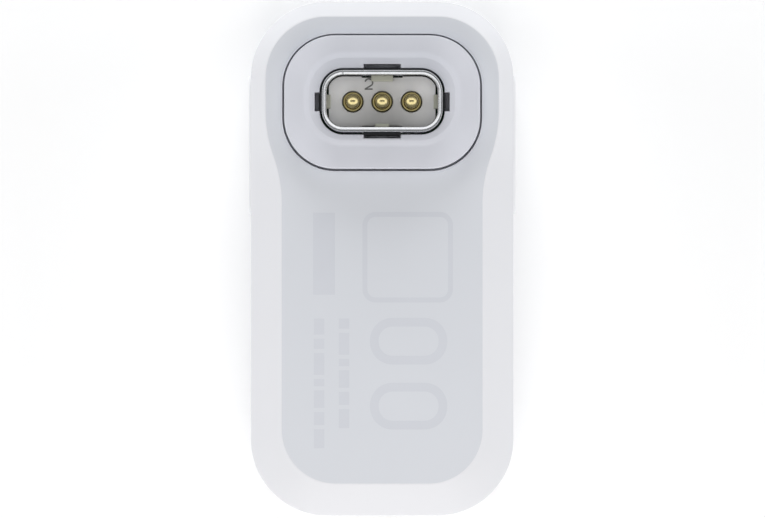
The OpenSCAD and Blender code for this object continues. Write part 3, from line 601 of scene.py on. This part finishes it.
# boss: collar, sloping land and the notches that the latch fingers spring into
def makeBoss(b):
    collarAt = (0, plugY)
    landAt = (0, plugY + b["landShift"])
    boreAt = (0, plugY + b["boreShift"])
    low, seat, top = bossLow.z, bossHigh.z - b["landRise"], bossHigh.z
    under = cover["ceilingZ"]
    rings = []

    def add(name, centre, radius, path):
        for inset, z in path:
            outline = roundRect(b[name[0]] - 2 * inset, b[name[1]] - 2 * inset, radius - inset, centre, b["steps"])
            rings.append([(x, y, z) for x, y in outline])
    collar, land, bore = ("width", "length"), ("landWidth", "landLength"), ("boreWidth", "boreLength")
    add(collar, collarAt, b["cornerR"], [(-b["flange"], low), (-b["flange"], under), (0, under)])
    add(collar, collarAt, b["cornerR"], softPath([(0, under + 0.2), (0, seat), (0.5, seat)], [b["edge"]], 6))
    add(land, landAt, b["landR"], softPath([(-0.25, seat), (0, seat), (b["slope"], top), (b["slope"] + 0.06, top)],
                                           [b["landFoot"], b["landEdge"]], 5))
    add(bore, boreAt, b["boreR"], softPath([(-0.1, top), (0, top), (0, top - 0.5)], [b["boreEdge"]], 3))
    add(bore, boreAt, b["boreR"], [(0, low)])
    piece = objectFrom("bossMoulding", skin(rings, closed=True))
    floorZ, lid, overlap = top - b["notchDepth"], top + clear, b["notchOverlap"]
    cutters = []
    for s in (-1, 1):
        edge = boreAt[1] + s * b["boreLength"] / 2
        y0, y1 = sorted((edge - s * overlap, edge + s * b["notchOut"]))
        cutters.append(cuboid((-b["notchLong"] / 2, y0, floorZ), (b["notchLong"] / 2, y1, lid)))
        edge = s * b["boreWidth"] / 2
        x0, x1 = sorted((edge - s * overlap, edge + s * b["notchEndOut"]))
        cutters.append(cuboid((x0, plugY - b["notchEnd"] / 2, floorZ), (x1, plugY + b["notchEnd"] / 2, lid)))
    return carve(piece, cutters)


bossPiece = makeBoss(boss)
finishPiece(bossPiece, satinBoss, ["plug_boss"], "boss_plastic", sharpest=30)
print("boss made")

# plug shell: drawn steel tube with a rolled lip, a butt seam and four windows for the fingers
plug = {"width": 8.17, "length": 4.17, "cornerR": 1.44, "wall": 0.25, "lipIn": 0.07, "lipHeight": 0.4,
        "lipChamfer": (0.09, 0.12), "lipSlope": 0.03, "innerRoll": 0.025, "seamX": -2.66, "seamWidth": 0.07,
        "seamDepth": 0.1, "windowBelowLip": 0.2, "windowOverlap": 0.1, "fingerLong": 2.5, "fingerEnd": 1.25,
        "slit": 0.15, "fingerLength": 2.4, "bow": 0.29, "fingerSink": 0.05, "fingerLean": 0.35,
        "fingerThick": 0.16, "fingerEdge": 0.03, "fingerSteps": 20, "legs": (0.9, 0.25, 0.04), "steps": 20}


def makeShell(p):
    top, low = shellHigh.z, bossLow.z
    lip, lipZ = p["wall"] + p["lipIn"], shellHigh.z - p["lipHeight"]
    across, down = p["lipChamfer"]
    path = softPath([(0, low + 0.5), (0, top - down), (across, top - p["lipSlope"]), (lip - 0.02, top),
                     (lip, top - 0.06), (lip, lipZ), (p["wall"], lipZ - 0.05), (p["wall"], low)],
                    [0.02, 0.07, p["innerRoll"], 0.02, 0.05, 0.03], 7)
    tube = block(p["width"], p["length"], p["cornerR"], [(0, low)] + path, (0, plugY), True, p["steps"])
    high = lipZ - p["windowBelowLip"]
    floorZ, behind, past = high - p["fingerLength"], p["wall"] + p["windowOverlap"], 0.3
    cutters = []
    for s in (-1, 1):
        half = p["fingerLong"] / 2 + p["slit"]
        y0, y1 = sorted((plugY + s * (p["length"] / 2 - behind), plugY + s * (p["length"] / 2 + past)))
        cutters.append(cuboid((-half, y0, floorZ), (half, y1, high)))
        half = p["fingerEnd"] / 2 + p["slit"]
        x0, x1 = sorted((s * (p["width"] / 2 - behind), s * (p["width"] / 2 + past)))
        cutters.append(cuboid((x0, plugY - half, floorZ), (x1, plugY + half, high)))
    y = plugY + p["length"] / 2
    seam = p["seamWidth"] / 2
    cutters.append(cuboid((p["seamX"] - seam, y - lip - 0.1, top - p["seamDepth"]),
                          (p["seamX"] + seam, y + 0.1, top + 0.1)))
    return carve(objectFrom("plugShell", tube), cutters)


def makeFingers(p):
    high = shellHigh.z - p["lipHeight"] - p["windowBelowLip"]
    middle, half = high - p["fingerLength"] / 2, p["fingerLength"] / 2
    parts = []
    for turn in range(4):
        width = (p["fingerEnd"] if turn % 2 else p["fingerLong"]) / 2
        reach = (p["width"] if turn % 2 else p["length"]) / 2
        rings = []
        for i in range(p["fingerSteps"] + 1):
            t = -1 + 2 * i / p["fingerSteps"]  # from the lower end at -1 to the upper end at 1
            out = p["bow"] * math.cos(t * math.pi / 2) ** 0.9 - p["fingerSink"]
            tilt = Vector((1, p["fingerLean"] * math.sin(t * math.pi / 2))).normalized() * p["fingerThick"]
            z = middle + t * (half + 0.02)
            inner, innerZ = out - tilt.x, z - tilt.y
            rings.append([(width, out, z), (-width, out, z), (-width, inner, innerZ), (width, inner, innerZ)])
        bm = skin(rings)
        bmesh.ops.bevel(bm, geom=[e for e in bm.edges if abs(abs(e.verts[0].co.x) - width) < 0.001
                                  and abs(e.verts[0].co.x - e.verts[1].co.x) < 0.001 and e.calc_face_angle(0) > 1],
                        offset=p["fingerEdge"], segments=2, affect="EDGES", profile=0.6)
        a = math.radians(90 * turn)
        parts.append(moved(bm, lambda q: Vector((q.x * math.cos(a) - (q.y + reach) * math.sin(a),
                                                 plugY + q.x * math.sin(a) + (q.y + reach) * math.cos(a), q.z))))
    return objectFrom("latchFingers", gather(parts))


def makeLegs(p):
    across, thick, edge = p["legs"]
    parts = []
    for s in (-1, 1):
        for t in (-1, 1):
            x = s * (p["width"] / 2 - p["cornerR"] - across / 2)
            y = plugY + t * (p["length"] - p["wall"]) / 2
            parts.append(cuboid((x - across / 2, y - thick / 2, shellLow.z),
                                (x + across / 2, y + thick / 2, bossLow.z + 0.05), edge))
    return objectFrom("shellLegs", gather(parts))


shellPiece = makeShell(plug)
finishPiece(shellPiece, drawnStainless, ["plug_shell"], "plug_steel", sharpest=38)
fingerPiece = makeFingers(plug)
# the fingers carry painted shade: near black for the dark notches they sit in
finishPiece(fingerPiece, paintedShadeFingerSteel, [], "plug_steel")
finishPiece(makeLegs(plug), drawnStainless, [], "plug_steel")
print("plug shell made")

# insulator with its retaining tabs and a raised cavity number
insulator = {"moat": 0.1, "edge": 0.05, "topZ": barrelHigh.z - 0.1, "tabTop": insulatorHigh.z, "holeD": 1.46,
             "holeChamfer": 0.04, "tabGap": 0.03, "tabIn": 0.42, "tabEdge": 0.05, "tabDepth": 0.3,
             "tabWidths": (1.5, 0.95, 0.95, 0.95), "tabShares": (1, 0.7, 0.7, 0.7), "relief": 0.1,
             "reliefWidths": (2.8, 2.3, 2.8, 2.3)}
digit = {"x": -0.91, "y": 1.21, "height": 0.7, "width": 0.52, "stroke": 0.1, "rise": 0.03, "sink": 0.02,
         "topEdge": 0.02, "foot": 0.02}


def atSide(turn, width, length, reachIn, reachOut, across, low, high, edge=0.0):
    # a small block against one of the plug's four sides, counted from +Y clockwise
    far = (length if turn % 2 == 0 else width) / 2
    bm = cuboid((-across / 2, far - reachIn, low), (across / 2, far + reachOut, high), edge)
    turned = Matrix.Rotation(math.radians(-90 * turn), 3, "Z")
    return moved(bm, lambda q: turned @ q + Vector((0, plugY, 0)))


def makeInsulator(s, p):
    inset = p["wall"] + s["moat"]
    wide, long = p["width"] - 2 * inset, p["length"] - 2 * inset
    path = softPath([(0, insulatorLow.z), (0, s["topZ"]), (0.4, s["topZ"])], [s["edge"]], 4)
    piece = objectFrom("insulatorBlock", block(wide, long, p["cornerR"] - inset, path, (0, plugY)))
    cutters = [atSide(t, wide, long, s["relief"], clear, s["reliefWidths"][t], 0, shellHigh.z) for t in range(4)]
    r, wider = s["holeD"] / 2, s["holeD"] / 2 + s["holeChamfer"]
    hole = [(r, insulatorLow.z - clear), (r, s["topZ"] - s["holeChamfer"]), (wider, s["topZ"]),
            (wider, s["topZ"] + clear)]
    cutters += [lathe(hole, (x, plugY), 56) for x in pinXs]
    carve(piece, cutters)
    reach = p["wall"] + s["tabGap"]
    tabs = [atSide(t, p["width"], p["length"], reach + s["tabIn"] * s["tabShares"][t], -reach, s["tabWidths"][t],
                   s["topZ"] - s["tabDepth"], s["tabTop"], s["tabEdge"]) for t in range(4)]
    return piece, objectFrom("insulatorTabs", gather(tabs))


def strokeAlong(points, width, low, high, topEdge):
    # a flat bead that follows a line of points, with a sloping top edge
    half, rings = width / 2, []
    points = [Vector(p) for p in points]
    left, right = [], []
    for i, p in enumerate(points):
        d = (points[min(i + 1, len(points) - 1)] - points[max(i - 1, 0)]).normalized()
        left.append(p + Vector((-d.y, d.x)) * half)
        right.append(p + Vector((d.y, -d.x)) * half)
    outline = left + right[::-1]
    middle = points + points[::-1]
    for shrink, z in ((0, low), (0, high - topEdge), (0.25, high)):
        rings.append([(*q.lerp(m, shrink), z) for q, m in zip(outline, middle)])
    return skin(rings)


insulatorPiece, tabPiece = makeInsulator(insulator, plug)
finishPiece(insulatorPiece, milkyNylonBlock, ["plug_insulator"], "insulator_plastic", sharpest=35)
finishPiece(tabPiece, paleNylonTab, [], "insulator_plastic")
bowl = arcPoints((0, digit["height"] - digit["width"] / 2), digit["width"] / 2, 165, -38, 14)
strokes = [bowl + [(-digit["width"] / 2, 0)], [(-digit["width"] / 2 - digit["foot"], 0), (digit["width"] / 2, 0)]]
spot = Vector((digit["x"], plugY + digit["y"] - digit["height"] / 2))
digitParts = [strokeAlong([Vector(p) + spot for p in line], digit["stroke"], insulator["topZ"] - digit["sink"],
                          insulator["topZ"] + digit["rise"], digit["topEdge"]) for line in strokes]
finishPiece(objectFrom("cavityNumber", gather(digitParts)), digitShade, [], "insulator_plastic")
print("insulator made")

# faint pad-printed marks on the face: plain shapes, no lettering
marks = {"ink": 0.006, "sink": 0.02, "panel": (-4.73, -3.23, -2.47, 3.15), "rows": (-4.32, -2.61),
         "rowWidth": 0.72, "rowDashes": (1.1, 0.7, 1.5, 0.5, 1.2, 0.9, 1.3), "rowStart": -4.1, "dashGap": 0.28,
         "frame": (1.75, 0.1, 6.2, 6.2, 0.9, 0.34), "rings": ((1.81, -5.65), (1.81, -10.1)),
         "ringSize": (5.3, 3.2, 1.55, 0.6)}
inkLow, inkHigh = faceZ - marks["sink"], faceZ + marks["ink"]


def frameShape(x, y, width, length, radius, stroke):
    path = [(0, inkLow), (0, inkHigh), (stroke, inkHigh), (stroke, inkLow)]
    return block(width, length, radius, path, (x, y), True, 12)


x0, x1, y0, y1 = marks["panel"]
markParts = [cuboid((x0, y0, inkLow), (x1, y1, inkHigh))]
for row, x in enumerate(marks["rows"]):
    y, half = marks["rowStart"], marks["rowWidth"] / 2
    for dash in marks["rowDashes"][row:]:
        markParts.append(cuboid((x - half, y - dash, inkLow), (x + half, y, inkHigh)))
        y -= dash + marks["dashGap"]
markParts.append(frameShape(*marks["frame"]))
for x, y in marks["rings"]:
    markParts.append(frameShape(x, y, *marks["ringSize"]))
finishPiece(objectFrom("printedMarks", gather(markParts)), padInk, [], "cover_plastic")
print("marks made")

# sprung pins: turned barrels, domed plungers and coil springs
pin = {"barrelR": 0.675, "boreR": 0.57, "mouthR": 0.51, "lip": 0.2, "tailR": 0.35, "edge": 0.1, "tipR": 0.48,
       "crownR": 1.0, "crownEdge": 0.2, "tailWideR": 0.54, "shoulderGap": 0.02, "wire": 0.13, "springR": 0.445,
       "springGap": 0.01, "standoff": 0.1, "turns": 5, "sides": 10, "perTurn": 32, "steps": 96}
barrelFloor = springLow.z - pin["springGap"]


def makeBarrel(p, x):
    top, tail, bottom = barrelHigh.z, barrelLow.z, boardHigh.z + p["standoff"]
    outside = softPath([(0, tail), (p["tailR"], tail), (p["tailR"], bottom), (p["barrelR"], bottom),
                        (p["barrelR"], top), (p["mouthR"], top), (p["mouthR"], top - p["lip"]),
                        (p["boreR"], top - p["lip"]), (p["boreR"], barrelFloor), (0, barrelFloor)],
                       [0.06, 0.04, 0.05, p["edge"], 0.06, 0.03, 0.02, 0.02])
    return lathe(outside, (x, plugY), p["steps"])


def makePlunger(p, x):
    top, bottom = plungerHigh.z, plungerLow.z
    shoulder = barrelHigh.z - p["lip"] - p["shoulderGap"]
    edgeX = p["tipR"] - p["crownEdge"]
    tilt = math.degrees(math.asin(edgeX / (p["crownR"] - p["crownEdge"])))
    edgeZ = top - p["crownR"] + math.cos(math.radians(tilt)) * (p["crownR"] - p["crownEdge"])
    dome = arcPoints((edgeX, edgeZ), p["crownEdge"], 0, 90 - tilt, 10)
    dome += arcPoints((0, top - p["crownR"]), p["crownR"], 90 - tilt, 90, 12)[1:]
    stem = softPath([(0, bottom), (p["tailWideR"], bottom), (p["tailWideR"], shoulder), (p["tipR"], shoulder),
                     (p["tipR"], edgeZ - 0.02)], [0.05, 0.03, 0.02], 4)
    return lathe(stem + dome, (x, plugY), p["steps"])


def makeSpring(p, x):
    low, high = springLow.z, springHigh.z
    rings, count = [], p["turns"] * p["perTurn"]
    for i in range(count + 1):
        t = i / count
        a = 2 * math.pi * p["turns"] * t
        z = low + p["wire"] / 2 + (high - low - p["wire"]) * t  # an open coil of even pitch
        ring = []
        for k in range(p["sides"]):
            b = 2 * math.pi * k / p["sides"]
            r = p["springR"] + p["wire"] / 2 * math.cos(b)
            ring.append((x + r * math.cos(a), plugY + r * math.sin(a), z + p["wire"] / 2 * math.sin(b)))
        rings.append(ring)
    return skin(rings)


for i, x in enumerate(pinXs, 1):
    axis = (x, plugY, 0)
    barrel = objectFrom(f"pinBarrel{i}", makeBarrel(pin, x))
    finishPiece(barrel, turnedGoldBarrel, [f"pin_barrel_{i}"], "pin_gold", origin=axis)
    plunger = objectFrom(f"pinPlunger{i}", makePlunger(pin, x))
    finishPiece(plunger, turnedGoldTip, [f"pin_plunger_{i}"], "plunger_gold", f"pin_{i}", origin=axis)
    coil = objectFrom(f"pinSpring{i}", makeSpring(pin, x))
    finishPiece(coil, springSteel, [f"pin_spring_{i}"], "spring_wire")
    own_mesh(coil)
print("pins made")


# charging port: plated shell with a rounded mouth, tongue, plate and contacts
def makePortShell(p):
    w, h = portHigh.x - portLow.x, p["height"]
    centreZ = boardLow.z - h / 2
    front, back = portLow.y, portHigh.y
    length = back - front
    path = softPath([(0, 0.8), (0, length), (p["wall"], length), (p["wall"], 0), (0, 0), (0, 0.4)],
                    [p["edge"], p["edge"], 0.05, 0.05], 4)
    bm = block(w, h, h / 2 - 0.001, path, closed=True, steps=18)
    parts = [moved(bm, lambda q: Vector((q.x, back - q.z, centreZ + q.y)))]
    legs, legHigh = p["legs"], boxOf("usb_shell")[1].z
    for s in (-1, 1):
        for y in (front + p["legFront"], back - p["legBack"]):
            x = s * (w - p["wall"]) / 2
            parts.append(cuboid((x - legs[0] / 2, y - legs[1] / 2, centreZ),
                                (x + legs[0] / 2, y + legs[1] / 2, legHigh), p["legEdge"]))
    return objectFrom("portShell", gather(parts))


finishPiece(makePortShell(port), platedPort, ["usb_shell"], "port_steel")


def softened(node, name, width):
    # a copy of a small part's shape with its edges eased
    piece = bpy.data.objects.new(name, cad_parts[node].data.copy())
    piece.data.materials.clear()
    bpy.context.scene.collection.objects.link(piece)
    bm = bmesh.new()
    bm.from_mesh(piece.data)
    bmesh.ops.scale(bm, vec=(1 / mm, 1 / mm, 1 / mm), verts=bm.verts)
    bmesh.ops.remove_doubles(bm, verts=bm.verts, dist=0.002)
    bmesh.ops.dissolve_limit(bm, angle_limit=math.radians(2), verts=bm.verts, edges=bm.edges)
    edges = [e for e in bm.edges if e.calc_face_angle(0) > math.radians(30)]
    bmesh.ops.bevel(bm, geom=edges, offset=width, segments=2, affect="EDGES", profile=0.6, clamp_overlap=True)
    bm.to_mesh(piece.data)
    bm.free()
    return piece


# node, name, width of the eased edges, material, slot
small = (("usb_insulator", "portTongue", 0.06, darkNylon, "port_plastic"),
         ("usb_mid_plate", "tonguePlate", 0.02, stampedPlate, "port_plate"),
         ("usb_contacts_upper", "contactsUpper", 0.015, flashGold, "contact_gold"),
         ("usb_contacts_lower", "contactsLower", 0.015, flashGold, "contact_gold"),
         ("main_pcb", "circuitBoard", 0.03, greenSolderMask, "board"),
         ("tvs_diode", "surgeDiode", 0.05, epoxyBody, "diode"),
         ("input_fuse", "inputFuse", 0.05, fuseLaminate, "fuse"))
for node, name, width, material, slotName in small:
    finishPiece(softened(node, name, width), material, [node], slotName, sharpest=35)

# chips with plated end caps: node, name, material, slot, length of a cap
chips = (("cc_resistor_1", "resistorLeft", filmResistor, "resistor", 0.2),
         ("cc_resistor_2", "resistorRight", filmResistor, "resistor", 0.2),
         ("input_capacitor", "inputCapacitor", tanCeramic, "capacitor", 0.4))
for node, name, material, slotName, cap in chips:
    low, high = boxOf(node)
    inset = Vector((cap, 0.03, 0.03))
    parts = [cuboid(low + inset, high - inset, 0.02),
             cuboid(low, (low.x + cap, high.y, high.z), 0.04), cuboid((high.x - cap, low.y, low.z), high, 0.04)]
    bodyFaces = len(parts[0].faces)
    chip = objectFrom(name, gather(parts))
    finishPiece(chip, [material, tinSolder], [node], slotName)
    for f in chip.data.polygons:
        f.material_index = 0 if f.index < bodyFaces else 1

# these two keep their CAD shape and only take a better material
for node, material in (("seam_adhesive", curedAdhesive), ("solder_joints", tinSolder)):
    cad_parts[node].data.materials.clear()
    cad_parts[node].data.materials.append(material)
print("port and board made")

# floor and light
floorSettings = {"size": 1600, "below": 0.02, "glow": 0.105}
floorMesh = bmesh.new()
bmesh.ops.create_grid(floorMesh, x_segments=4, y_segments=4, size=floorSettings["size"] / 2)
floor = objectFrom("paleFloor", floorMesh)
floor.data.transform(Matrix.Scale(mm, 4))
floor.location.z = -floorSettings["below"] * mm
# opal acrylic sheet, cast and lit from behind: an even white that carries only a faint shadow
floor.data.materials.append(fineGrain("backlitAcrylic", {
    "colour": "#f7f8f9", "tint": "#fbfbfb", "driftSize": 60, "grainSize": 2.0, "depth": 0.01,
    "roughness": (0.5, 0.6)}, {"IOR": 1.49, "Emission Strength": floorSettings["glow"],
                               "Emission Color": (1, 1, 1, 1)}))

room = {"colour": (0.96, 0.98, 1.0, 1), "strength": 0.245}
world = bpy.data.worlds.new("softRoom")
bpy.context.scene.world = world
world.use_nodes = True
world.node_tree.nodes["Background"].inputs["Color"].default_value = room["colour"]
world.node_tree.nodes["Background"].inputs["Strength"].default_value = room["strength"]

# softboxes: where each one stands, how wide and tall it is in mm, and its power in watts.
# Only the one overhead shows in the metals, so that each dome has one clean highlight.
lightAim = (0, 0, 8)
lights = {"left": {"spot": (-420, 0, 120), "size": (300, 120), "watts": 0.59},
          "right": {"spot": (420, 0, 120), "size": (300, 120), "watts": 0.57},
          "back": {"spot": (0, 420, 130), "size": (300, 120), "watts": 1.02},
          "front": {"spot": (0, -420, 130), "size": (300, 120), "watts": 0.74},
          "tailNear": {"spot": (0, -72, 80), "size": (80, 80), "watts": 0.024, "colour": (1, 0.93, 0.87)},
          "overhead": {"spot": (0, 25, 310), "size": (500, 290), "watts": 0.39, "shape": "ELLIPSE",
                       "reflected": True}}
for name, light in lights.items():
    lamp = bpy.data.objects.new(name, bpy.data.lights.new(name, "AREA"))
    lamp.data.shape = light.get("shape", "RECTANGLE")
    lamp.data.size, lamp.data.size_y = light["size"][0] * mm, light["size"][1] * mm
    lamp.data.energy = light["watts"]
    lamp.data.color = light.get("colour", (1, 1, 1))
    lamp.visible_glossy = light.get("reflected", False)
    lamp.location = Vector(light["spot"]) * mm
    lamp.rotation_euler = (Vector(lightAim) * mm - lamp.location).to_track_quat("-Z", "Y").to_euler()
    bpy.context.scene.collection.objects.link(lamp)

# the black camera hangs over the plug and shows in the domed pins
cameraBlock = {"low": (-90, 4, 268), "high": (90, 66, 290), "edge": 6}
cameraBody = objectFrom("cameraBody", cuboid(cameraBlock["low"], cameraBlock["high"], cameraBlock["edge"]))
cameraBody.data.transform(Matrix.Scale(mm, 4))
# flocked cloth on the camera: soot black with no highlight
cameraBody.data.materials.append(fineGrain("blackFlock", {
    "colour": "#0b0b0c", "tint": "#101011", "driftSize": 40, "grainSize": 1.0, "depth": 0.2,
    "roughness": (0.8, 0.95)}, {"IOR": 1.5}))
print("floor and light made")

bpy.context.view_layer.update()
